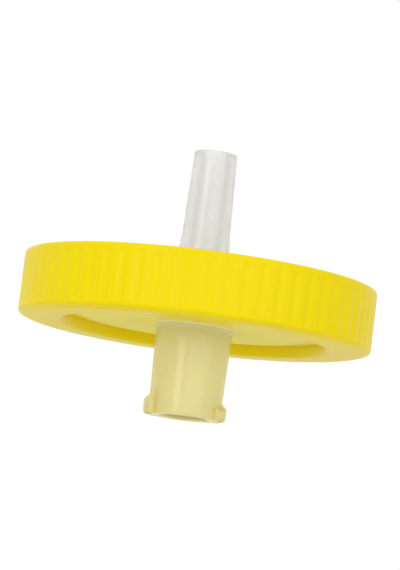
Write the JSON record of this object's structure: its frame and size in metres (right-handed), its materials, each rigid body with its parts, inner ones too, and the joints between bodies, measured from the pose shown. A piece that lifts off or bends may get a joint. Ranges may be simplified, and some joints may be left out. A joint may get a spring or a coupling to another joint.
{
  "type": "syringe filter",
  "caption": "Disc-shaped syringe filter: translucent housings clamp a membrane inside a ribbed yellow ring, with a luer-lock inlet hub and a luer-slip outlet port.",
  "frame": {"origin": "centre of the inlet hub's open end, which the filter stands on", "axes": "+Z along the flow, from the inlet hub to the outlet tip; +X through the middle of one luer lug"},
  "size_m": [0.033, 0.033, 0.025],
  "materials": {
    "clear_polypropylene": "translucent natural polypropylene, smooth moulded",
    "nylon_membrane": "matt white microporous nylon film",
    "yellow_polypropylene": "glossy bright yellow polypropylene, ribbed edge"
  },
  "bodies": {
    "root": {"inlet_housing": "clear_polypropylene", "membrane": "nylon_membrane", "outlet_housing": "clear_polypropylene", "overmould_ring": "yellow_polypropylene"}
  },
  "joints": []
}
